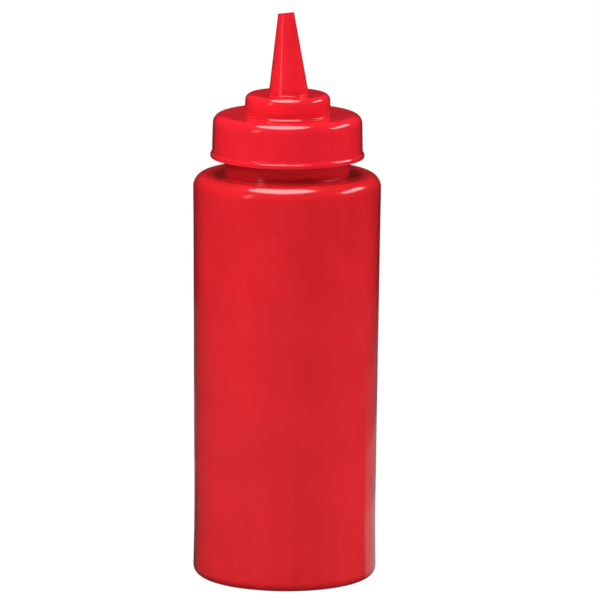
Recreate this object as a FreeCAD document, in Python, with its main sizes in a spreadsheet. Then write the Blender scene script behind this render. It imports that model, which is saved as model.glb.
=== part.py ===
"""A 350 ml squeeze bottle for sauces, in two mouldings that a screw cap joins.

The blown bottle is a shut, opaque pack, so it is solid out to its wall: a foot ring round a shallow
push-up, a rounded heel, a faintly waisted side, a rounded shoulder with a flat deck, and a plain neck.
The moulded cap has a flared lip, a drafted skirt, a stepped dome and a tapered nozzle. The nozzle leans
a little and its tip is cut on a slant. Its socket takes the neck, and its ceiling rests on the neck's top.

Frame: millimetres, +Z up, origin on the ground at the centre of the foot ring. The nozzle leans to -X.
"""
import FreeCAD, Part
import os
import Sketcher

# Each size that can be set by itself: its alias in the sheet, its value and what it is.
SIZES = (
    ("bottle_radius", 30.5, "bottle at the top of its side"),
    ("side_height", 132.55, "ground to the shoulder's outer edge, before it is rounded"),
    ("waist_inset", 0.85, "how much narrower the bottle is at its waist"),
    ("waist_height", 26.5, "ground to the waist"),
    ("base_inset", 0.6, "how much narrower it is at the ground, before the heel is rounded"),
    ("heel_fillet", 3.2, "rounding of the bottom edge"),
    ("foot_width", 7.4, "width of the foot ring, before the heel is rounded"),
    ("push_up_step", 1.1, "steep rise just inside the foot ring"),
    ("push_up_run", 1.4, "width of that steep rise"),
    ("push_up_height", 2.4, "ground to the middle of the push-up"),
    ("push_up_fillet", 0.8, "rounding of both edges of the steep rise"),
    ("shoulder_fillet", 4.3, "rounding of the shoulder"),
    ("deck_rise", 0.25, "rise of the deck from the shoulder to the neck"),
    ("neck_radius", 20.3, "plain neck"),
    ("neck_height", 17.8, "deck to the neck's top"),
    ("neck_fillet", 0.7, "hollow corner where the neck meets the deck"),
    ("neck_edge", 0.6, "rounding of the neck's top edge"),
    ("visible_neck", 5.15, "deck to the cap's lowest edge"),
    ("socket_clearance", 0.3, "gap all round between the neck and its socket"),
    ("relief_step", 2.2, "how much wider the socket is near its mouth"),
    ("relief_height", 6.0, "depth of the wider part of the socket"),
    ("skirt_wall", 1.6, "wall of the skirt round that wider part"),
    ("roof_wall", 1.5, "wall between the neck's top and the cap's flat top"),
    ("skirt_draft", 0.28, "how much narrower the skirt is at its top"),
    ("skirt_fillet", 2.95, "rounding of the cap's top edge"),
    ("lip_flare", 0.55, "how far the lip stands out from the skirt"),
    ("lip_band", 1.2, "height of the lip's upright band"),
    ("lip_slope", 1.6, "height over which the flare runs back into the skirt"),
    ("lip_fillet", 0.45, "rounding of the lip's bottom edge"),
    ("dome_radius", 13.95, "stepped dome at its foot"),
    ("dome_draft", 0.3, "how much narrower the dome is at its top"),
    ("dome_height", 6.7, "cap's flat top to the dome's flat top"),
    ("dome_fillet", 2.05, "rounding of the dome's top edge"),
    ("step_fillet", 0.7, "hollow corner where the dome meets the cap's top"),
    ("nozzle_root_radius", 6.45, "nozzle where it leaves the dome"),
    ("nozzle_tip_radius", 2.6, "nozzle at its tip"),
    ("nozzle_length", 26.25, "dome to the middle of the tip, along the nozzle"),
    ("nozzle_lean", 2.17, "degrees that the nozzle leans towards -X"),
    ("nozzle_offset", 0.3, "nozzle's root off the cap's axis, towards +X"),
    ("nozzle_embed", 1.0, "length of the nozzle's cone that is sunk in the dome"),
    ("nozzle_fillet", 0.6, "hollow corner at the nozzle's root"),
    ("tip_slant", 11.0, "degrees that the cut tip is off level"),
    ("tip_heading", -54.0, "degrees from +X, towards +Y if positive, of the cut's highest place"),
    ("tip_spare", 2.0, "length of nozzle past the cut, which the knife takes off"),
    ("orifice_radius", 1.5, "channel at the tip"),
    ("channel_radius", 1.9, "channel where it meets the neck's top"),
)

# Radii and heights above the ground that several features share, worked out from the sheet.
BASE_RADIUS = "sizes.bottle_radius - sizes.base_inset"
FOOT_INNER = f"{BASE_RADIUS} - sizes.foot_width"
PUSH_UP_EDGE = f"{FOOT_INNER} - sizes.push_up_run"
WAIST_RADIUS = "sizes.bottle_radius - sizes.waist_inset"
SOCKET_RADIUS = "sizes.neck_radius + sizes.socket_clearance"
RELIEF_RADIUS = f"{SOCKET_RADIUS} + sizes.relief_step"
SKIRT_RADIUS = f"{RELIEF_RADIUS} + sizes.skirt_wall"
SKIRT_TOP_RADIUS = f"{SKIRT_RADIUS} - sizes.skirt_draft"
LIP_RADIUS = f"{SKIRT_RADIUS} + sizes.lip_flare"
DOME_TOP_RADIUS = "sizes.dome_radius - sizes.dome_draft"
DECK = "sizes.side_height + sizes.deck_rise"
LIP_BOTTOM = f"{DECK} + sizes.visible_neck"
SEAT = f"{DECK} + sizes.neck_height"
CAP_TOP = f"{SEAT} + sizes.roof_wall"
DOME_TOP = f"{CAP_TOP} + sizes.dome_height"

NEAR_MM = 0.02  # how near an edge or a point lies to the place that it is found by

doc = FreeCAD.newDocument("squeeze_bottle")


def make_sheet():
    """The spreadsheet of driving sizes."""
    sheet = doc.addObject("Spreadsheet::Sheet", "sizes")
    for row, (alias, value, meaning) in enumerate(SIZES, start=1):
        sheet.set(f"A{row}", alias.replace("_", " "))
        sheet.set(f"B{row}", str(value))
        sheet.set(f"C{row}", meaning)
        sheet.setAlias(f"B{row}", alias)
    doc.recompute()
    return sheet


sizes = make_sheet()


def size(expression):
    """The number that an expression over the sheet's sizes gives now."""
    return float(sizes.evalExpression(expression.replace("sizes.", "")))


def origin_feature(body, role):
    """One of the body's own origin planes or axes, such as XZ_Plane."""
    return next(f for f in body.Origin.OriginFeatures if f.Role == role)


def pin_point(sketch, edge, end, name, radius, height):
    """Ties one end of an edge to a radius and a height, each 0 or an expression."""
    for axis, kind, value in ((-2, "DistanceX", radius), (-1, "DistanceY", height)):
        if value == "0":
            sketch.addConstraint(Sketcher.Constraint("PointOnObject", edge, end, axis))
            continue
        index = sketch.addConstraint(Sketcher.Constraint(kind, -1, 1, edge, end, size(value)))
        sketch.renameConstraint(index, f"{name}_{kind[-1].lower()}")
        sketch.setExpression(f"Constraints[{index}]", value)


def profile(body, name, corners, arcs=()):
    """A closed half-section on the body's XZ plane.

    corners lists (name, radius, height) with expressions, in order. arcs maps an edge's first corner
    to the rough bulge that it is drawn with and to what then settles it: "axis" centres it on the axis
    of turning, and "tangent" runs it smoothly into the edge that follows."""
    sketch = body.newObject("Sketcher::SketchObject", name)
    sketch.AttachmentSupport = [(origin_feature(body, "XZ_Plane"), "")]
    sketch.MapMode = "FlatFace"
    places = [FreeCAD.Vector(size(r), size(z), 0) for _, r, z in corners]
    arcs = dict(arcs)
    for i, (corner, _, _) in enumerate(corners):
        start, end = places[i], places[(i + 1) % len(places)]
        if corner in arcs:
            middle = (start + end) * 0.5 + arcs[corner][0]
            if (middle - start).cross(end - middle).z < 0:
                start, end = end, start  # a sketch's arcs run anticlockwise
            sketch.addGeometry(Part.Arc(start, middle, end), False)
        else:
            sketch.addGeometry(Part.LineSegment(start, end), False)
    ends = []
    for i, place in enumerate(places):
        geometry = sketch.Geometry[i]
        starts_here = geometry.StartPoint.distanceToPoint(place) < NEAR_MM
        ends.append((1, 2) if starts_here else (2, 1))
    for i, (corner, radius, height) in enumerate(corners):
        following = (i + 1) % len(corners)
        joint = (i, ends[i][1], following, ends[following][0])
        smooth = corner in arcs and arcs[corner][1] == "tangent"
        sketch.addConstraint(Sketcher.Constraint("Tangent" if smooth else "Coincident", *joint))
        if corner in arcs and arcs[corner][1] == "axis":
            sketch.addConstraint(Sketcher.Constraint("PointOnObject", i, 3, -2))
        pin_point(sketch, i, ends[i][0], corner, radius, height)
    return sketch


def turned(body, kind, name, sketch):
    """The sketch turned once round Z, added as a Revolution or taken away as a Groove."""
    feature = body.newObject(f"PartDesign::{kind}", name)
    feature.Profile = sketch
    feature.ReferenceAxis = (sketch, ["V_Axis"])
    feature.Angle = 360.0
    doc.recompute()


def ring_edges(shape, radius, height):
    """Names of the edges that circle the axis at this radius and height."""
    found = []
    for number, edge in enumerate(shape.Edges, start=1):
        box = edge.BoundBox
        level = max(abs(box.ZMin - height), abs(box.ZMax - height)) < NEAR_MM
        wide = abs(max(box.XMax, -box.XMin) - radius) < NEAR_MM
        if level and wide and edge.Length > radius:
            found.append(f"Edge{number}")
    return found


def rounded(body, name, edges, alias):
    """Rounds named edges of the body's last feature to a radius from the sheet."""
    if not edges:
        raise RuntimeError(f"{name}: no edge was found")
    base = body.Tip
    fillet = body.newObject("PartDesign::Fillet", name)
    fillet.Base = (base, edges)
    fillet.setExpression("Radius", f"sizes.{alias}")
    doc.recompute()


def ring_rounded(body, name, radius, height, alias):
    """Rounds the edge that circles the axis at a radius and a height, both expressions."""
    rounded(body, name, ring_edges(body.Shape, size(radius), size(height)), alias)


def make_bottle():
    """The blown bottle, solid out to its wall."""
    body = doc.addObject("PartDesign::Body", "bottle")
    corners = (
        ("push_up_middle", "0", "sizes.push_up_height"),
        ("push_up_edge", PUSH_UP_EDGE, "sizes.push_up_step"),
        ("foot_inside", FOOT_INNER, "0"),
        ("foot_outside", BASE_RADIUS, "0"),
        ("waist", WAIST_RADIUS, "sizes.waist_height"),
        ("shoulder", "sizes.bottle_radius", "sizes.side_height"),
        ("neck_foot", "sizes.neck_radius", DECK),
        ("neck_top", "sizes.neck_radius", SEAT),
        ("neck_middle", "0", SEAT),
    )
    dish = size("sizes.push_up_height - sizes.push_up_step") / 4
    flare = size("sizes.waist_inset - sizes.base_inset") / 4
    arcs = {
        "push_up_middle": (FreeCAD.Vector(0, dish, 0), "axis"),
        "foot_outside": (FreeCAD.Vector(-flare, 0, 0), "tangent"),
    }
    sketch = profile(body, "bottle_half", corners, arcs)
    turned(body, "Revolution", "bottle_turned", sketch)
    ring_rounded(body, "heel", BASE_RADIUS, "0", "heel_fillet")
    ring_rounded(body, "foot_edge", FOOT_INNER, "0", "push_up_fillet")
    ring_rounded(body, "push_up_root", PUSH_UP_EDGE, "sizes.push_up_step", "push_up_fillet")
    ring_rounded(body, "shoulder", "sizes.bottle_radius", "sizes.side_height", "shoulder_fillet")
    ring_rounded(body, "neck_root", "sizes.neck_radius", DECK, "neck_fillet")
    ring_rounded(body, "neck_rim", "sizes.neck_radius", SEAT, "neck_edge")
    return body


def offset_expression(x, z, axis, angle):
    """An attachment offset in the XZ plane, turned by an angle in degrees about a level axis."""
    return f"placement(vector({x}; 0; {z}); rotation(vector({axis}; 0); {angle}))"


def nozzle_cone(body, kind, name, root_radius, tip_radius, length, depth):
    """A cone on the nozzle's leaning axis, added or taken away. Its root is that deep in the dome."""
    cone = body.newObject(f"PartDesign::{kind}", name)
    cone.AttachmentSupport = [(origin_feature(body, "XY_Plane"), "")]
    cone.MapMode = "FlatFace"
    x = f"sizes.nozzle_offset + ({depth}) * sin(sizes.nozzle_lean)"
    z = f"{DOME_TOP} - ({depth}) * cos(sizes.nozzle_lean)"
    cone.setExpression("AttachmentOffset", offset_expression(x, z, "0; -1", "sizes.nozzle_lean"))
    cone.setExpression("Radius1", root_radius)
    cone.setExpression("Radius2", tip_radius)
    cone.setExpression("Height", length)
    doc.recompute()


def trim_tip(body):
    """Takes the nozzle's spare length off along the slanted cut, which a wide round knife makes."""
    knife = body.newObject("PartDesign::SubtractiveCylinder", "tip_cut")
    knife.AttachmentSupport = [(origin_feature(body, "XY_Plane"), "")]
    knife.MapMode = "FlatFace"
    x = "sizes.nozzle_offset - sizes.nozzle_length * sin(sizes.nozzle_lean)"
    z = f"{DOME_TOP} + sizes.nozzle_length * cos(sizes.nozzle_lean)"
    axis = "sin(sizes.tip_heading); -cos(sizes.tip_heading)"
    knife.setExpression("AttachmentOffset", offset_expression(x, z, axis, "sizes.tip_slant"))
    knife.setExpression("Radius", "4 * sizes.nozzle_tip_radius")
    knife.setExpression("Height", "4 * sizes.tip_spare")
    doc.recompute()


def make_cap():
    """The moulded cap with its nozzle, its socket and the channel through it."""
    body = doc.addObject("PartDesign::Body", "nozzle_cap")
    band_top = f"{LIP_BOTTOM} + sizes.lip_band"
    outline = (
        ("lip_middle", "0", LIP_BOTTOM),
        ("lip_bottom", LIP_RADIUS, LIP_BOTTOM),
        ("band_top", LIP_RADIUS, band_top),
        ("skirt_foot", SKIRT_RADIUS, f"{band_top} + sizes.lip_slope"),
        ("skirt_top", SKIRT_TOP_RADIUS, CAP_TOP),
        ("dome_foot", "sizes.dome_radius", CAP_TOP),
        ("dome_top", DOME_TOP_RADIUS, DOME_TOP),
        ("dome_middle", "0", DOME_TOP),
    )
    turned(body, "Revolution", "cap_turned", profile(body, "cap_half", outline))

    # The cone is longer than the nozzle by its sunk root and its spare tip, on the same taper.
    taper = "(sizes.nozzle_root_radius - sizes.nozzle_tip_radius) / sizes.nozzle_length"
    root = f"sizes.nozzle_root_radius + {taper} * sizes.nozzle_embed"
    tip = f"sizes.nozzle_tip_radius - {taper} * sizes.tip_spare"
    length = "sizes.nozzle_length + sizes.nozzle_embed + sizes.tip_spare"
    nozzle_cone(body, "AdditiveCone", "nozzle", root, tip, length, "sizes.nozzle_embed")
    trim_tip(body)

    seam = [
        f"Edge{number}"
        for number, edge in enumerate(body.Shape.Edges, start=1)
        if abs(edge.BoundBox.ZMin - size(DOME_TOP)) < NEAR_MM
        and abs(edge.BoundBox.ZMax - size(DOME_TOP)) < NEAR_MM
        and edge.BoundBox.XMax < size(f"({DOME_TOP_RADIUS} + sizes.nozzle_root_radius) / 2")
    ]
    rounded(body, "nozzle_root", seam, "nozzle_fillet")
    ring_rounded(body, "dome_edge", DOME_TOP_RADIUS, DOME_TOP, "dome_fillet")
    ring_rounded(body, "dome_root", "sizes.dome_radius", CAP_TOP, "step_fillet")
    ring_rounded(body, "cap_edge", SKIRT_TOP_RADIUS, CAP_TOP, "skirt_fillet")
    ring_rounded(body, "lip_edge", LIP_RADIUS, LIP_BOTTOM, "lip_fillet")

    relief_top = f"{LIP_BOTTOM} + sizes.relief_height"
    socket = (
        ("mouth_middle", "0", LIP_BOTTOM),
        ("mouth", RELIEF_RADIUS, LIP_BOTTOM),
        ("relief_top", RELIEF_RADIUS, relief_top),
        ("bore_foot", SOCKET_RADIUS, relief_top),
        ("bore_top", SOCKET_RADIUS, SEAT),
        ("seat_middle", "0", SEAT),
    )
    before = body.Shape.Volume
    turned(body, "Groove", "socket", profile(body, "socket_half", socket))
    if body.Shape.Volume >= before:
        raise RuntimeError("the socket cut nothing")

    # The channel runs from below the socket's ceiling to past the tip, on the nozzle's own axis.
    depth = f"{DOME_TOP} - ({SEAT})"
    narrowing = f"(sizes.channel_radius - sizes.orifice_radius) / (sizes.nozzle_length + {depth})"
    through = f"sizes.nozzle_length + {depth} + 2 * sizes.nozzle_embed"
    wide = f"sizes.channel_radius + {narrowing} * sizes.nozzle_embed"
    narrow = f"sizes.orifice_radius - {narrowing} * sizes.nozzle_embed"
    below = f"{depth} + sizes.nozzle_embed"
    nozzle_cone(body, "SubtractiveCone", "channel", wide, narrow, through, below)
    return body


def check(made):
    """Stops on a failed object, or on a piece that isn't one valid solid."""
    failed = [o.Name for o in doc.Objects if {"Invalid", "Error"} & set(o.State)]
    if failed:
        raise RuntimeError(f"these objects failed: {failed}")
    for body in made:
        shape = body.Shape
        if shape.isNull() or not shape.isValid() or len(shape.Solids) != 1:
            raise RuntimeError(f"{body.Label} is not one valid solid")


made = (make_bottle(), make_cap())
doc.recompute()
check(made)
os.makedirs("parts", exist_ok=True)
for body in made:
    body.Shape.exportStep(f"parts/{body.Label}.step")
    box = body.Shape.optimalBoundingBox()
    print(
        f"{body.Label}: {body.Shape.Volume / 1000:.2f} ml of solid, "
        f"{box.XLength:.2f} x {box.YLength:.2f} x {box.ZLength:.2f} mm, "
        f"Z {box.ZMin:.2f} to {box.ZMax:.2f}"
    )
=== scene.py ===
"""Looks of a 350 ml squeeze bottle: a blow-moulded LDPE bottle and its injection-moulded nozzle cap."""
from math import asin, atan2, cos, hypot, pi, radians, sin, sqrt, tan

import bmesh
import bpy
from mathutils import Euler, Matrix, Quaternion, Vector


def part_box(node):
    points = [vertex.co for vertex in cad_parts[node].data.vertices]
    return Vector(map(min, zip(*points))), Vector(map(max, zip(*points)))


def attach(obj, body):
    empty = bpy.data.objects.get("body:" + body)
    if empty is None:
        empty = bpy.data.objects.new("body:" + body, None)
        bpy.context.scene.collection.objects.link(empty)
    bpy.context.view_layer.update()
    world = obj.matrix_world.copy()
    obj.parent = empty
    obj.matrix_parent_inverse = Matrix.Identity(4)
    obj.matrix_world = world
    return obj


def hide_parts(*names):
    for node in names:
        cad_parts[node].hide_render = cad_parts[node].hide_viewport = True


bl_info = {
    "name": "Squeeze Bottle",
    "version": (1, 0, 0),
    "blender": (4, 5, 0),
    "location": "View3D > Sidebar > Squeeze Bottle",
    "description": "Builds a squeeze bottle and its nozzle cap round a packed frame, with a studio for it",
    "category": "Add Mesh",
}

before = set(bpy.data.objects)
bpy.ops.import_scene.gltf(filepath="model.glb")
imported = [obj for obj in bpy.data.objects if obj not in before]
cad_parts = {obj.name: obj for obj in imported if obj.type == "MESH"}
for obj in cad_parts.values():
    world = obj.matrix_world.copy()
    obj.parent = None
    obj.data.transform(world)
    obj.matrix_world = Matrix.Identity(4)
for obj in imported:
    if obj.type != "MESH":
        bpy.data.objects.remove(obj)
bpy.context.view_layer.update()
BOTTLE_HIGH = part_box("bottle")[1]
CAP_LOW, CAP_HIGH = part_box("nozzle_cap")

MM = 0.001
NEAR = 0.002 * MM  # how near a point lies to the place that it is picked by
COLOUR_A, COLOUR_B, COLOUR_OUT = 6, 7, 2  # sockets of a Mix node that mixes colours
BOTTLE_COLUMNS, CAP_COLUMNS = 256, 192  # faces round each piece
DISH_RINGS, WAIST_RINGS, SIDE_RINGS = 6, 6, 40  # rows of faces on the bottle
FLARE_RINGS, SKIRT_RINGS, NOZZLE_RINGS = 8, 3, 8  # rows of faces on the cap
LIP_BELL = 3.3  # how late the lip flares out, where 1 is a plain cone
AIM_HEIGHT = 90 * MM  # what the camera and the lamps face


def hex_colour(code):
    """An sRGB hex colour as linear red, green and blue."""
    parts = [int(code[i:i + 2], 16) / 255 for i in (1, 3, 5)]
    return [c / 12.92 if c <= 0.04045 else ((c + 0.055) / 1.055) ** 2.4 for c in parts]


FLECK_PLACE = (-2.5 * MM, -30.0 * MM, 118.6 * MM)  # high on the wall's front
FLECK_REACH = 1.1 * MM  # where the fleck has faded out
FLECK_SHARE = 0.45  # how much of its own red its middle has
FLECK_RED = hex_colour("#8A1018")


def length(name, default, description):
    """A size in metres, given in millimetres."""
    return bpy.props.FloatProperty(
        name=name, description=description, default=default * MM, subtype="DISTANCE", precision=5
    )


def slant(name, default, description):
    """An angle in radians, given in degrees."""
    return bpy.props.FloatProperty(
        name=name, description=description, default=radians(default), subtype="ANGLE"
    )


def colour(name, default, description):
    """A colour given as sRGB hex and kept linear."""
    return bpy.props.FloatVectorProperty(
        name=name, description=description, default=hex_colour(default), subtype="COLOR",
        size=3, min=0.0, max=1.0,
    )


def amount(name, default, description):
    """A plain number from 0 to 1."""
    return bpy.props.FloatProperty(
        name=name, description=description, default=default, min=0.0, max=1.0
    )


class BottleSizes(bpy.types.PropertyGroup):
    """Sizes of the blown bottle."""

    radius: length("Radius", BOTTLE_HIGH.x / MM - 0.03, "Bottle at the top of its side")
    side_height: length("Side height", 132.55, "Ground to the shoulder's edge before rounding")
    waist_inset: length("Waist inset", 0.85, "How much narrower the bottle is at its waist")
    waist_height: length("Waist height", 26.5, "Ground to the waist")
    base_inset: length("Base inset", 0.6, "How much narrower it is at the ground")
    heel_round: length("Heel rounding", 3.2, "Rounding of the bottom edge")
    foot_width: length("Foot width", 7.4, "Width of the foot ring")
    push_up_step: length("Push-up step", 1.1, "Steep rise inside the foot ring")
    push_up_run: length("Push-up run", 1.4, "Width of the steep rise")
    push_up_height: length("Push-up height", 2.4, "Ground to the middle of the push-up")
    push_up_round: length("Push-up rounding", 0.7, "Rounding of the steep rise")
    shoulder_round: length("Shoulder rounding", 4.3, "Rounding of the shoulder")
    deck_rise: length("Deck rise", 0.25, "Rise of the deck towards the neck")
    neck_radius: length("Neck radius", 20.3, "Plain neck")
    neck_root_round: length("Neck root", 0.2, "Hollow corner where the neck meets the deck")
    neck_rim_round: length("Neck rim", 0.6, "Rounding of the neck's top edge")
    parting_width: length("Parting line width", 0.34, "Width of the ridge where the moulds met")
    parting_ridge: length("Parting line height", 0.03, "How far that ridge stands out")
    unevenness: length("Unevenness", 0.09, "How far the blown wall wanders from true")
    unevenness_span: length("Unevenness span", 34.0, "Distance from one hollow to the next")
    pinch_length: length("Pinch-off length", 33.0, "Weld across the base where the tube was shut")
    pinch_width: length("Pinch-off width", 1.1, "Width of that weld")
    pinch_height: length("Pinch-off height", 0.35, "How far that weld stands out")


class CapSizes(bpy.types.PropertyGroup):
    """Sizes of the nozzle cap."""

    lip_radius: length("Lip radius", CAP_HIGH.x / MM, "Lip at its widest")
    lip_flare: length("Lip flare", 0.55, "How far the lip stands out from the skirt")
    lip_band: length("Lip band", 1.2, "Height of the lip's upright band")
    lip_slope: length("Lip slope", 1.6, "Height over which the flare runs out")
    lip_round: length("Lip rounding", 0.45, "Rounding of the lip's bottom edge")
    lip_edge_round: length("Lip edge rounding", 0.1, "Rounding where the flare meets the band")
    mouth_round: length("Mouth rounding", 0.3, "Rounding of the edge inside the lip")
    skirt_wall: length("Skirt wall", 1.6, "Wall of the skirt")
    skirt_draft: length("Skirt draft", 0.28, "How much narrower the skirt is at its top")
    skirt_round: length("Skirt rounding", 2.95, "Rounding of the cap's top edge")
    relief_step: length("Relief step", 2.2, "How much wider the socket is near its mouth")
    relief_height: length("Relief height", 6.0, "Depth of the wider part of the socket")
    roof: length("Roof", 1.5, "Wall between the neck's top and the flat top")
    dome_radius: length("Dome radius", 13.95, "Stepped dome at its foot")
    dome_draft: length("Dome draft", 0.3, "How much narrower the dome is at its top")
    dome_height: length("Dome height", 6.7, "Flat top to the dome's own flat top")
    dome_round: length("Dome rounding", 2.05, "Rounding of the dome's top edge")
    step_round: length("Step rounding", 0.45, "Hollow corner at the dome's foot")
    nozzle_root: length("Nozzle root", 6.45, "Nozzle's radius where it leaves the dome")
    nozzle_tip: length("Nozzle tip", 2.6, "Nozzle's radius at its tip")
    nozzle_length: length("Nozzle length", 26.25, "Dome to the middle of the tip")
    nozzle_lean: slant("Nozzle lean", 2.17, "Lean of the nozzle towards -X")
    nozzle_offset: length("Nozzle offset", 0.3, "Root of the nozzle off the axis, towards +X")
    nozzle_round: length("Nozzle rounding", 0.12, "Hollow corner at the nozzle's root")
    tip_slant: slant("Tip slant", 11.0, "How far the cut tip is off level")
    tip_heading: slant("Tip heading", -54.0, "Bearing from +X of the cut's highest place")
    tip_round: length("Tip rounding", 0.15, "Rounding of the cut edge")
    orifice: length("Orifice", 1.5, "Channel's radius at the tip")
    channel: length("Channel", 1.9, "Channel's radius at the neck's top")


class Finishes(bpy.types.PropertyGroup):
    """Colours and gloss of the two plastics."""

    bottle_red: colour("Bottle red", "#D62129", "Masterbatch red of the blown bottle")
    bottle_deep_red: colour("Bottle deep red", "#CC1D25", "Where its pigment lies thicker")
    cap_red: colour("Cap red", "#E2222F", "Masterbatch red of the cap")
    cap_deep_red: colour("Cap deep red", "#DA1E2A", "Where its pigment lies thicker")
    bottle_roughness: amount("Bottle roughness", 0.16, "Satin of the blown wall")
    cap_roughness: amount("Cap roughness", 0.12, "Gloss of the polished mould")


class SqueezeBottleSettings(bpy.types.PropertyGroup):
    """All that a user would change."""

    bottle: bpy.props.PointerProperty(type=BottleSizes, name="Bottle", description="Bottle sizes")
    cap: bpy.props.PointerProperty(type=CapSizes, name="Cap", description="Cap sizes")
    finish: bpy.props.PointerProperty(type=Finishes, name="Finish", description="Plastics")


# ---------------------------------------------------------------- modelling helpers

def deselect_everything():
    """Leaves object mode with nothing selected."""
    if bpy.context.object and bpy.context.object.mode != "OBJECT":
        bpy.ops.object.mode_set(mode="OBJECT")
    bpy.ops.object.select_all(action="DESELECT")


class Lathe:
    """Draws a round form up from one ring, as by hand: extrude the ring, move it and scale it."""

    def __init__(self, name, columns, radius, height, x=0.0, fill="NOTHING"):
        deselect_everything()
        bpy.ops.mesh.primitive_circle_add(
            vertices=columns, radius=radius, fill_type=fill, location=(x, 0, height)
        )
        self.piece = bpy.context.object
        self.piece.name = self.piece.data.name = name
        bpy.ops.object.transform_apply(location=True, rotation=True, scale=True)
        self.radius, self.height, self.x = radius, height, x
        bpy.ops.object.mode_set(mode="EDIT")
        self.pick_ring(radius, height, x)

    def to(self, radius, height, x=None):
        """The next ring: its radius, its height and, where it leaves the axis, its centre."""
        x = self.x if x is None else x
        shift = (x - self.x, 0, height - self.height)
        bpy.ops.mesh.extrude_region_move(TRANSFORM_OT_translate={"value": shift})
        ratio = radius / self.radius
        bpy.ops.transform.resize(value=(ratio, ratio, ratio), center_override=(x, 0, height))
        self.radius, self.height, self.x = radius, height, x

    def close(self):
        """Draws the last ring together into a pole."""
        self.to(self.radius / 4, self.height)
        bpy.ops.mesh.extrude_region_move()
        bpy.ops.mesh.merge(type="CENTER")

    def pick(self, test):
        """Selects the edges whose two ends both pass the test, and nothing else."""
        bpy.ops.mesh.select_mode(type="EDGE")
        bpy.ops.mesh.select_all(action="DESELECT")
        mesh = bmesh.from_edit_mesh(self.piece.data)
        picked = 0
        for edge in mesh.edges:
            if all(test(vertex.co) for vertex in edge.verts):
                edge.select_set(True)
                picked += 1
        if not picked:
            raise RuntimeError(f"{self.piece.name}: no edge lies there")
        bmesh.update_edit_mesh(self.piece.data)

    def pick_ring(self, radius, height, x=0.0):
        """Selects the level ring at a radius and a height."""
        def on_ring(place):
            off_ring = abs(hypot(place.x - x, place.y) - radius)
            return off_ring < NEAR and abs(place.z - height) < NEAR
        self.pick(on_ring)

    def round_ring(self, radius, height, reach, segments, x=0.0):
        """Rounds the ring at a radius and a height. reach is how far the rounding eats each side."""
        self.pick_ring(radius, height, x)
        bpy.ops.mesh.bevel(offset_type="OFFSET", offset=reach, segments=segments, affect="EDGES")

    def turn_outwards(self):
        """Merges doubles and turns every face outwards."""
        bpy.ops.mesh.select_mode(type="VERT")
        bpy.ops.mesh.select_all(action="SELECT")
        bpy.ops.mesh.remove_doubles(threshold=NEAR / 4)
        bpy.ops.mesh.normals_make_consistent(inside=False)
        # On the cap, a form with a hole through it, the step above leaves every face inwards.
        if bmesh.from_edit_mesh(self.piece.data).calc_volume(signed=True) < 0:
            bpy.ops.mesh.flip_normals()

    def finish(self):
        """Leaves edit mode with a clean, smoothly shaded piece."""
        self.turn_outwards()
        bpy.ops.object.mode_set(mode="OBJECT")
        bpy.ops.object.shade_smooth()
        return self.piece


def weigh_normals(piece):
    """Keeps flats flat beside a rounding, by letting the larger faces steer the shading."""
    modifier = piece.modifiers.new("flats", "WEIGHTED_NORMAL")
    modifier.weight = 70
    bpy.ops.object.modifier_apply(modifier=modifier.name)


def side_end(sizes):
    """The last row of the straight side, a little below the reach of the shoulder's rounding."""
    return sizes.side_height - 1.4 * sizes.shoulder_round


def even_steps(start, end, count):
    """The places after start that divide the way to end into equal steps."""
    return [start + (end - start) * i / count for i in range(1, count + 1)]


# ---------------------------------------------------------------- materials

def add_node(material, kind, values=None, links=None, **settings):
    """Adds a node with its settings, the values of its sockets and the links into them."""
    node = material.node_tree.nodes.new(kind)
    for name, value in settings.items():
        setattr(node, name, value)
    for socket, value in (values or {}).items():
        node.inputs[socket].default_value = value
    for socket, source in (links or {}).items():
        material.node_tree.links.new(source, node.inputs[socket])
    return node


def new_material(name):
    """An empty node material."""
    material = bpy.data.materials.new(name)
    material.use_nodes = True
    material.node_tree.nodes.clear()
    return material


def per_metre(size_mm):
    """Noise scale that gives a pattern of this size."""
    return 1 / (size_mm * MM)


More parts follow.
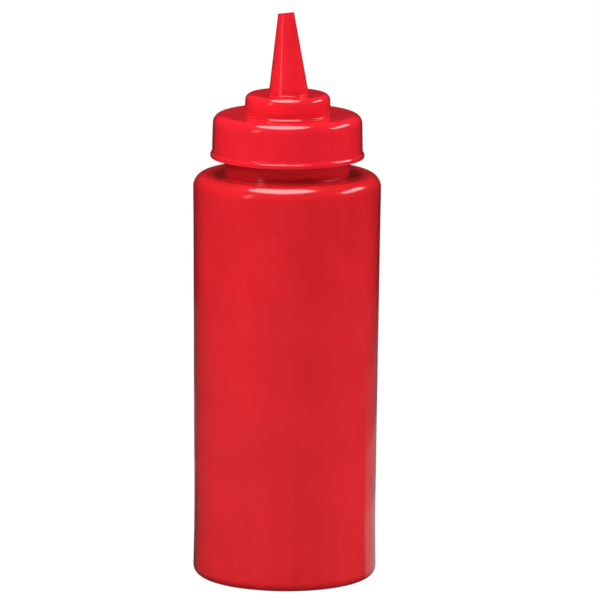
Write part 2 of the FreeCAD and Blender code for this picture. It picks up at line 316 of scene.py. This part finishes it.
def moulded_ldpe(
    name, red, deep_red, roughness, grain_mm, grain_depth_mm, streak_mm, coat, fleck=None,
):
    """Pigmented polyethylene: one strong red that the mould's finish makes satin or glossy.

    Its pigment lies a little thicker in soft clouds. Flow streaks run along the height, faint in
    colour and relief. The mould's own grain breaks the gloss up very finely. A fleck is a grain of
    pigment that did not spread, a small dark dot in the wall."""
    cloud_mm, flow_depth_mm, streak_share = 22, 0.012, 0.35
    along_flow = 0.05  # the streaks are 20 times as long as they are wide
    soft_range = {"From Min": 0.3, "From Max": 0.7}
    material = new_material(name)
    place = add_node(material, "ShaderNodeTexCoord").outputs["Object"]
    clouds = add_node(
        material, "ShaderNodeTexNoise", {"Scale": per_metre(cloud_mm), "Detail": 2.0}, {"Vector": place}
    )
    drawn_out = add_node(
        material, "ShaderNodeMapping", {"Scale": (1.0, 1.0, along_flow)}, {"Vector": place}
    )
    streaks = add_node(
        material, "ShaderNodeTexNoise", {"Scale": per_metre(streak_mm), "Detail": 3.0},
        {"Vector": drawn_out.outputs["Vector"]},
    )
    grain = add_node(
        material, "ShaderNodeTexNoise", {"Scale": per_metre(grain_mm), "Detail": 2.0},
        {"Vector": place},
    )
    thickness = add_node(
        material, "ShaderNodeMix", {"Factor": streak_share},
        {"A": clouds.outputs["Fac"], "B": streaks.outputs["Fac"]},
    )
    share = add_node(
        material, "ShaderNodeMapRange", soft_range,
        {"Value": thickness.outputs["Result"]}, interpolation_type="SMOOTHSTEP",
    )
    tint = add_node(
        material, "ShaderNodeMix",
        {COLOUR_A: (*red, 1.0), COLOUR_B: (*deep_red, 1.0)},
        {"Factor": share.outputs["Result"]}, data_type="RGBA",
    )
    if fleck:
        away = add_node(
            material, "ShaderNodeVectorMath", {1: fleck}, {0: place}, operation="DISTANCE"
        )
        dot = add_node(
            material, "ShaderNodeMapRange",
            {"From Min": 0.0, "From Max": FLECK_REACH, "To Min": FLECK_SHARE, "To Max": 0.0},
            {"Value": away.outputs["Value"]}, interpolation_type="SMOOTHSTEP",
        )
        tint = add_node(
            material, "ShaderNodeMix", {COLOUR_B: (*FLECK_RED, 1.0)},
            {"Factor": dot.outputs["Result"], COLOUR_A: tint.outputs[COLOUR_OUT]},
            data_type="RGBA",
        )
    gloss = add_node(
        material, "ShaderNodeMapRange",
        {**soft_range, "To Min": roughness * 0.9, "To Max": roughness * 1.12},
        {"Value": clouds.outputs["Fac"]}, interpolation_type="SMOOTHSTEP",
    )
    flow = add_node(
        material, "ShaderNodeBump", {"Strength": 1.0, "Distance": flow_depth_mm * MM},
        {"Height": streaks.outputs["Fac"]},
    )
    skin = add_node(
        material, "ShaderNodeBump", {"Strength": 1.0, "Distance": grain_depth_mm * MM},
        {"Height": grain.outputs["Fac"], "Normal": flow.outputs["Normal"]},
    )
    shader = add_node(
        material, "ShaderNodeBsdfPrincipled", {"IOR": 1.51, **coat},
        {
            "Base Color": tint.outputs[COLOUR_OUT],
            "Roughness": gloss.outputs["Result"],
            "Normal": skin.outputs["Normal"],
        },
    )
    add_node(
        material, "ShaderNodeOutputMaterial", links={"Surface": shader.outputs["BSDF"]}
    )
    return material


# ---------------------------------------------------------------- bottle

def waist_arc(base_radius, waist_radius, waist_height, slope):
    """The radius at a height on the arc that flares from the waist to the ground.

    The arc meets the straight side above the waist smoothly. slope is that side's widening per metre."""
    fall, run = 1 / hypot(1, slope), slope / hypot(1, slope)
    across, down = base_radius - waist_radius, -waist_height
    bend = (across ** 2 + down ** 2) / (2 * (across * fall - down * run))
    centre_radius = waist_radius + bend * fall
    centre_height = waist_height - bend * run
    return lambda height: centre_radius - sqrt(bend ** 2 - (height - centre_height) ** 2)


def draw_bottle(sizes):
    """The bottle's round form, from the push-up's middle to the closed neck."""
    base_radius = sizes.radius - sizes.base_inset
    waist_radius = sizes.radius - sizes.waist_inset
    foot_inner = base_radius - sizes.foot_width
    push_up_edge = foot_inner - sizes.push_up_run
    deck = sizes.side_height + sizes.deck_rise
    neck_top = BOTTLE_HIGH.z

    dish_depth = sizes.push_up_height - sizes.push_up_step
    dish_bend = (push_up_edge ** 2 + dish_depth ** 2) / (2 * dish_depth)

    def dish(radius):
        return sizes.push_up_height - dish_bend + sqrt(dish_bend ** 2 - radius ** 2)

    middle = push_up_edge / 8
    lathe = Lathe("blown_bottle", BOTTLE_COLUMNS, middle, dish(middle), fill="TRIFAN")
    for radius in even_steps(middle, push_up_edge, DISH_RINGS):
        lathe.to(radius, dish(radius))
    lathe.to(foot_inner, 0)
    lathe.to(base_radius, 0)

    slope = sizes.waist_inset / (sizes.side_height - sizes.waist_height)
    flare = waist_arc(base_radius, waist_radius, sizes.waist_height, slope)
    for height in even_steps(0, sizes.waist_height, WAIST_RINGS):
        lathe.to(flare(height), height)
    for height in even_steps(sizes.waist_height, side_end(sizes), SIDE_RINGS):
        lathe.to(waist_radius + slope * (height - sizes.waist_height), height)
    lathe.to(sizes.radius, sizes.side_height)
    lathe.to(sizes.neck_radius, deck)
    lathe.to(sizes.neck_radius, neck_top)
    lathe.close()

    steep = atan2(sizes.push_up_step, sizes.push_up_run)
    dish_edge = asin(push_up_edge / dish_bend)
    upright = pi / 2 - atan2(sizes.deck_rise, sizes.radius - sizes.neck_radius)
    for radius, height, rounding, turn, segments in (
        (push_up_edge, sizes.push_up_step, sizes.push_up_round, steep - dish_edge, 3),
        (foot_inner, 0, sizes.push_up_round, steep, 3),
        (base_radius, 0, sizes.heel_round, pi / 2, 10),
        (sizes.radius, sizes.side_height, sizes.shoulder_round, upright, 14),
        (sizes.neck_radius, deck, sizes.neck_root_round, upright, 6),
        (sizes.neck_radius, neck_top, sizes.neck_rim_round, pi / 2, 4),
    ):
        lathe.round_ring(radius, height, rounding * tan(turn / 2), segments)
    lathe.turn_outwards()
    return lathe


def raise_parting_line(lathe, sizes):
    """Raises the fine ridge that the two mould halves leave at +X and -X."""
    above_foot, under_cap = 1 * MM, CAP_LOW.z + 2 * MM

    def on_parting_plane(place):
        outside = abs(place.x) > sizes.neck_radius - NEAR
        return abs(place.y) < NEAR and outside and above_foot < place.z < under_cap

    lathe.pick(on_parting_plane)
    bpy.ops.mesh.bevel(
        offset_type="OFFSET", offset=sizes.parting_width / 2, segments=2, affect="EDGES"
    )
    lathe.pick(on_parting_plane)
    bpy.ops.transform.shrink_fatten(value=sizes.parting_ridge)


def let_wall_wander(piece, sizes):
    """Lets the blown side wander in from true by a hair, in hollows wider than a thumb."""
    calm_below, calm_above = 6 * MM, side_end(sizes)
    fade = 14 * MM
    group = piece.vertex_groups.new(name="blown_side")
    for vertex in piece.data.vertices:
        inside = min(vertex.co.z - calm_below, calm_above - vertex.co.z) / fade
        if inside > 0:
            group.add([vertex.index], min(inside, 1.0), "REPLACE")
    clouds = bpy.data.textures.new("wall_hollows", "CLOUDS")
    clouds.noise_scale = sizes.unevenness_span
    clouds.noise_depth = 1
    modifier = piece.modifiers.new("unevenness", "DISPLACE")
    modifier.texture = clouds
    modifier.texture_coords = "LOCAL"
    modifier.vertex_group = group.name
    modifier.strength = sizes.unevenness
    modifier.mid_level = 1.0
    bpy.ops.object.modifier_apply(modifier=modifier.name)
    piece.vertex_groups.clear()
    bpy.data.textures.remove(clouds)


def weld_pinch_off(bottle, sizes):
    """Adds the welt where the blown tube was pinched shut, lying across the push-up."""
    deselect_everything()
    bpy.ops.mesh.primitive_grid_add(
        x_subdivisions=32, y_subdivisions=3, size=1, location=(0, 0, -sizes.push_up_height)
    )
    welt = bpy.context.object
    bpy.ops.transform.resize(value=(sizes.pinch_length, sizes.pinch_width, 1))
    bpy.ops.object.transform_apply(location=True, rotation=True, scale=True)
    wrap = welt.modifiers.new("lie_on_dish", "SHRINKWRAP")
    wrap.target = bottle
    wrap.wrap_method = "PROJECT"
    wrap.use_project_z = True
    bpy.ops.object.modifier_apply(modifier=wrap.name)
    wall = welt.modifiers.new("welt", "SOLIDIFY")
    wall.thickness = 2 * sizes.pinch_height
    wall.offset = 0
    bpy.ops.object.modifier_apply(modifier=wall.name)
    soft = welt.modifiers.new("soft_edges", "BEVEL")
    soft.width = 0.25 * MM
    soft.segments = 3
    soft.angle_limit = radians(50)
    bpy.ops.object.modifier_apply(modifier=soft.name)
    bpy.ops.object.shade_smooth()
    deselect_everything()
    welt.select_set(True)
    bottle.select_set(True)
    bpy.context.view_layer.objects.active = bottle
    bpy.ops.object.join()


# ---------------------------------------------------------------- cap

def draw_cap(sizes):
    """The cap's closed form: up the socket, out and up to the tip, and back down the channel."""
    lip_bottom, seat = CAP_LOW.z, BOTTLE_HIGH.z
    skirt = sizes.lip_radius - sizes.lip_flare
    skirt_top = skirt - sizes.skirt_draft
    relief = skirt - sizes.skirt_wall
    relief_top = lip_bottom + sizes.relief_height
    band_top = lip_bottom + sizes.lip_band
    skirt_foot = band_top + sizes.lip_slope
    roof = seat + sizes.roof
    dome_top = roof + sizes.dome_height
    dome_top_radius = sizes.dome_radius - sizes.dome_draft
    taper = (sizes.nozzle_root - sizes.nozzle_tip) / sizes.nozzle_length
    spare = 2 * MM  # cut off again by the slanted cut

    def nozzle_centre(distance):
        return (
            dome_top + distance * cos(sizes.nozzle_lean),
            sizes.nozzle_offset - distance * sin(sizes.nozzle_lean),
        )

    channel_x = sizes.nozzle_offset + (dome_top - seat) * tan(sizes.nozzle_lean)
    lathe = Lathe("moulded_nozzle_cap", CAP_COLUMNS, sizes.channel, seat, channel_x)
    lathe.to(relief - sizes.relief_step, seat, 0)
    lathe.to(relief - sizes.relief_step, relief_top)
    lathe.to(relief, relief_top)
    lathe.to(relief, lip_bottom)
    lathe.to(sizes.lip_radius, lip_bottom)
    lathe.to(sizes.lip_radius, band_top)
    for share in even_steps(0, 1, FLARE_RINGS):
        flare = sizes.lip_flare * (1 - share) ** LIP_BELL
        lathe.to(skirt + flare, band_top + share * sizes.lip_slope)
    for share in even_steps(0, 1, SKIRT_RINGS):
        lathe.to(skirt - share * sizes.skirt_draft, skirt_foot + share * (roof - skirt_foot))
    lathe.to(sizes.dome_radius, roof)
    lathe.to(dome_top_radius, dome_top)
    lathe.to(sizes.nozzle_root, dome_top, sizes.nozzle_offset)
    for distance in even_steps(0, sizes.nozzle_length - 2 * spare, NOZZLE_RINGS):
        lathe.to(sizes.nozzle_root - distance * taper, *nozzle_centre(distance))
    lathe.to(sizes.nozzle_tip - spare * taper, *nozzle_centre(sizes.nozzle_length + spare))

    tip_z, tip_x = nozzle_centre(sizes.nozzle_length)
    cut = Vector((
        -sin(sizes.tip_slant) * cos(sizes.tip_heading),
        -sin(sizes.tip_slant) * sin(sizes.tip_heading),
        cos(sizes.tip_slant),
    ))
    bpy.ops.mesh.select_all(action="SELECT")
    bpy.ops.mesh.bisect(plane_co=(tip_x, 0, tip_z), plane_no=cut, clear_outer=True)
    lathe.radius, lathe.height, lathe.x = sizes.nozzle_tip, tip_z, tip_x
    lathe.to(sizes.orifice, tip_z)
    bpy.ops.mesh.select_all(action="DESELECT")
    bpy.ops.mesh.select_non_manifold()
    bpy.ops.mesh.bridge_edge_loops()

    for radius, height, reach, segments, x in (
        (relief, lip_bottom, sizes.mouth_round, 4, 0),
        (sizes.lip_radius, lip_bottom, sizes.lip_round, 5, 0),
        (sizes.lip_radius, band_top, sizes.lip_edge_round, 3, 0),
        (skirt_top, roof, sizes.skirt_round, 12, 0),
        (sizes.dome_radius, roof, sizes.step_round, 6, 0),
        (dome_top_radius, dome_top, sizes.dome_round, 10, 0),
        (sizes.nozzle_root, dome_top, sizes.nozzle_round, 6, sizes.nozzle_offset),
    ):
        lathe.round_ring(radius, height, reach, segments, x)

    tip = Vector((tip_x, 0, tip_z))

    def on_cut_edge(place):
        return abs((place - tip).dot(cut)) < NEAR

    lathe.pick(on_cut_edge)
    bpy.ops.mesh.bevel(offset_type="OFFSET", offset=sizes.tip_round, segments=3, affect="EDGES")
    return lathe


# ---------------------------------------------------------------- studio

def area_lamp(name, place, aim, width, depth, radiance, diffuse=True, glossy=True, oval=False):
    """A soft box that the camera doesn't see, facing a point, with the radiance of its face."""
    lamp = bpy.data.lights.new(name, "AREA")
    lamp.shape = "ELLIPSE" if oval else "RECTANGLE"
    lamp.size, lamp.size_y = width, depth
    face = width * depth * (pi / 4 if oval else 1)
    lamp.energy = radiance * pi * face
    stand = bpy.data.objects.new(name, lamp)
    bpy.context.scene.collection.objects.link(stand)
    stand.location = place
    stand.rotation_euler = (Vector(aim) - Vector(place)).to_track_quat("-Z", "Y").to_euler()
    stand.visible_camera = False
    stand.visible_diffuse = diffuse
    stand.visible_glossy = glossy
    # Without this, a lamp kept out of the gloss would still leak into it.
    lamp.cycles.use_multiple_importance_sampling = glossy


def toward(bearing, elevation, distance, centre):
    """A point at a distance from the centre. Bearing 0 is the camera's side and +90 is +X."""
    turn, rise = radians(bearing), radians(elevation)
    return Vector((
        distance * cos(rise) * sin(turn),
        -distance * cos(rise) * cos(turn),
        distance * sin(rise),
    )) + centre


def light_gloss():
    """The soft boxes that the plastic mirrors, and that add nothing to its evenly lit red."""
    middle = Vector((0, 0, AIM_HEIGHT))
    overhead = Vector((-0.085, -0.13, 1.13))
    straight_down = Vector((0, 0, -1))
    area_lamp(
        "overhead_octabox", overhead, overhead + straight_down, 0.88, 0.88, 4.2,
        diffuse=False, oval=True,
    )
    for name, bearing, elevation, distance, width, depth, radiance in (
        ("right_softbox", 102, 35, 1.1, 0.72, 0.27, 3.3),
        ("left_strip", -50, 22, 1.1, 0.2, 0.65, 0.9),
    ):
        area_lamp(
            name, toward(bearing, elevation, distance, middle), middle, width, depth, radiance,
            diffuse=False,
        )


def light_red():
    """The fills that light the red evenly and stay out of its gloss.

    light is the strength that arrives at the bottle, whatever the lamp's distance and size."""
    middle = Vector((0, 0, AIM_HEIGHT))
    for name, bearing, elevation, distance, across, light in (
        ("back_fill", 180, 45, 1.3, 0.8, 4.5),
        ("right_fill", 100, 15, 1.3, 0.8, 2.15),
        ("front_right_fill", 70, 15, 1.3, 0.8, 0.5),
        ("high_front_fill", 8, 65, 2.6, 1.6, 2.45),
        ("left_fill", -65, 36, 0.5, 0.3, 2.5),
    ):
        area_lamp(
            name, toward(bearing, elevation, distance, middle), middle, across, across,
            light * (distance / across) ** 2, glossy=False,
        )
    by_the_floor = (0, -0.5, 20 * MM)
    area_lamp("low_front_strip", by_the_floor, middle, 0.5, 0.03, 16, glossy=False)


def stand_cards():
    """Dim cards low behind at the right: the wall's right edge mirrors them as a pale fringe.

    They start from one corner, each larger than the one before and the last one dimmer, so that
    the fringe fades out upwards."""
    nearest_corner = Vector((27, -13, 1.5))
    along = toward(124, 0, 1, Vector())
    behind = toward(124 + 90, 0, 1, Vector())
    up = Vector((0, 0, 1)) - along * MM  # a hair off plumb, which turns the card to face along
    for number, (reach, radiance) in enumerate(((0.1, 0.1), (0.2, 0.1), (0.32, 0.05))):
        layer = Vector((0, 0, number))
        card = (nearest_corner + layer) * MM + (along + behind) * reach / 2
        area_lamp(
            f"card_behind_right_{number}", card, card + up, reach, reach, radiance,
            diffuse=False,
        )


def light_world(camera_white, diffuse_grey, glossy_grey):
    """Surroundings: white behind the object, soft grey as a light, dim in reflections."""
    world = bpy.data.worlds.new("studio")
    bpy.context.scene.world = world
    world.use_nodes = True
    world.node_tree.nodes.clear()
    rays = add_node(world, "ShaderNodeLightPath")
    grey = add_node(
        world, "ShaderNodeMix", {"A": diffuse_grey, "B": glossy_grey},
        {"Factor": rays.outputs["Is Glossy Ray"]},
    )
    seen = add_node(
        world, "ShaderNodeMix", {"B": camera_white},
        {"Factor": rays.outputs["Is Camera Ray"], "A": grey.outputs["Result"]},
    )
    sky = add_node(
        world, "ShaderNodeBackground", {"Color": (1, 1, 1, 1)},
        {"Strength": seen.outputs["Result"]},
    )
    add_node(world, "ShaderNodeOutputWorld", links={"Surface": sky.outputs["Background"]})


def studio_floor_material(albedo, camera_share, glossy_share):
    """Matt white paper: no gloss, only a faint tooth of fibres.

    camera_share is how far the camera sees it as plain white, so the rest still shows the shadow.
    glossy_share is how bright it is in the plastic's reflections."""
    fibre_mm, fibre_depth_mm = 3, 0.02
    just_white = 1.05
    material = new_material("matt_white_paper_floor")
    place = add_node(material, "ShaderNodeTexCoord").outputs["Object"]
    fibres = add_node(
        material, "ShaderNodeTexNoise", {"Scale": per_metre(fibre_mm), "Detail": 3.0},
        {"Vector": place},
    )
    bump = add_node(
        material, "ShaderNodeBump", {"Distance": fibre_depth_mm * MM},
        {"Height": fibres.outputs["Fac"]},
    )
    rays = add_node(material, "ShaderNodeLightPath")
    shade = add_node(
        material, "ShaderNodeMix", {"A": albedo, "B": albedo * glossy_share},
        {"Factor": rays.outputs["Is Glossy Ray"]},
    )
    paper = add_node(
        material, "ShaderNodeBsdfDiffuse",
        links={"Color": shade.outputs["Result"], "Normal": bump.outputs["Normal"]},
    )
    white = add_node(material, "ShaderNodeEmission", {"Strength": just_white})
    share = add_node(
        material, "ShaderNodeMath", {1: camera_share}, {0: rays.outputs["Is Camera Ray"]},
        operation="MULTIPLY",
    )
    mixed = add_node(
        material, "ShaderNodeMixShader", links={
            0: share.outputs["Value"], 1: paper.outputs["BSDF"], 2: white.outputs["Emission"],
        },
    )
    add_node(material, "ShaderNodeOutputMaterial", links={"Surface": mixed.outputs["Shader"]})
    return material


def set_camera():
    """A long lens, far off and a little above level, turned slightly in its own plane."""
    lens, sensor, distance = 443.4, 36, 2.4
    elevation, roll = radians(10.718), radians(0.432)
    right, raised = 4.452 * MM, 0.799 * MM
    aim = Vector((0, 0, AIM_HEIGHT))
    turn = Euler((pi / 2 - elevation, 0, 0)).to_quaternion() @ Quaternion((0, 0, 1), roll)
    camera = bpy.data.cameras.new("camera")
    camera.lens, camera.sensor_width = lens, sensor
    stand = bpy.data.objects.new("camera", camera)
    bpy.context.scene.collection.objects.link(stand)
    across, up, back = (turn @ Vector(axis) for axis in ((1, 0, 0), (0, 1, 0), (0, 0, 1)))
    stand.location = aim + distance * back + right * across + raised * up
    stand.rotation_euler = turn.to_euler()
    bpy.context.scene.camera = stand


# ---------------------------------------------------------------- operators

class SQUEEZE_OT_bottle(bpy.types.Operator):
    """Builds the blow-moulded bottle"""

    bl_idname = "squeeze_bottle.bottle"
    bl_label = "Blown Bottle"

    def execute(self, context):
        settings = context.scene.squeeze_bottle
        lathe = draw_bottle(settings.bottle)
        raise_parting_line(lathe, settings.bottle)
        bottle = lathe.finish()
        let_wall_wander(bottle, settings.bottle)
        weld_pinch_off(bottle, settings.bottle)
        weigh_normals(bottle)
        finish = settings.finish
        bottle.data.materials.append(moulded_ldpe(
            "blown_satin_ldpe", finish.bottle_red, finish.bottle_deep_red,
            finish.bottle_roughness, grain_mm=0.5, grain_depth_mm=0.004, streak_mm=5,
            coat={"Coat Weight": 1.0, "Coat Roughness": 0.1, "Coat IOR": 1.5},
            fleck=FLECK_PLACE,
        ))
        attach(bottle, "root")
        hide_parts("bottle")
        return {"FINISHED"}


class SQUEEZE_OT_cap(bpy.types.Operator):
    """Builds the injection-moulded nozzle cap"""

    bl_idname = "squeeze_bottle.cap"
    bl_label = "Nozzle Cap"

    def execute(self, context):
        settings = context.scene.squeeze_bottle
        cap = draw_cap(settings.cap).finish()
        weigh_normals(cap)
        finish = settings.finish
        cap.data.materials.append(moulded_ldpe(
            "moulded_gloss_ldpe", finish.cap_red, finish.cap_deep_red,
            finish.cap_roughness, grain_mm=0.4, grain_depth_mm=0.0015, streak_mm=3,
            coat={"Coat Weight": 1.0, "Coat Roughness": 0.06, "Coat IOR": 1.5},
        ))
        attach(cap, "root")
        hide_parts("nozzle_cap")
        return {"FINISHED"}


class SQUEEZE_OT_studio(bpy.types.Operator):
    """Sets the white floor, the soft lamps and the camera"""

    bl_idname = "squeeze_bottle.studio"
    bl_label = "Studio"

    def execute(self, context):
        deselect_everything()
        floor_radius = 0.48
        bpy.ops.mesh.primitive_circle_add(vertices=128, radius=floor_radius, fill_type="NGON")
        floor = context.object
        floor.name = "studio_floor"
        floor.data.materials.append(studio_floor_material(
            albedo=0.36, camera_share=0.92, glossy_share=0.05,
        ))

        light_gloss()
        light_red()
        stand_cards()
        light_world(camera_white=1.0, diffuse_grey=0.02, glossy_grey=0.008)
        set_camera()
        context.scene.view_settings.view_transform = "Standard"
        return {"FINISHED"}


class SQUEEZE_PT_sidebar(bpy.types.Panel):
    """Lists the pieces to build and the sizes and colours to change"""

    bl_idname = "SQUEEZE_PT_sidebar"
    bl_label = "Squeeze Bottle"
    bl_space_type = "VIEW_3D"
    bl_region_type = "UI"
    bl_category = "Squeeze Bottle"

    def draw(self, context):
        settings = context.scene.squeeze_bottle
        for operator, sizes in (
            (SQUEEZE_OT_bottle, settings.bottle),
            (SQUEEZE_OT_cap, settings.cap),
            (SQUEEZE_OT_studio, settings.finish),
        ):
            self.layout.operator(operator.bl_idname)
            for name in sizes.__annotations__:
                self.layout.prop(sizes, name)


CLASSES = (
    BottleSizes, CapSizes, Finishes, SqueezeBottleSettings,
    SQUEEZE_OT_bottle, SQUEEZE_OT_cap, SQUEEZE_OT_studio, SQUEEZE_PT_sidebar,
)


def register():
    for each in CLASSES:
        bpy.utils.register_class(each)
    bpy.types.Scene.squeeze_bottle = bpy.props.PointerProperty(
        type=SqueezeBottleSettings, name="Squeeze bottle", description="Sizes and colours"
    )


def unregister():
    del bpy.types.Scene.squeeze_bottle
    for each in reversed(CLASSES):
        bpy.utils.unregister_class(each)


def main():
    """Builds the pieces and the studio."""
    register()
    bpy.ops.squeeze_bottle.bottle()
    bpy.ops.squeeze_bottle.cap()
    bpy.ops.squeeze_bottle.studio()


if __name__ == "__main__":
    main()
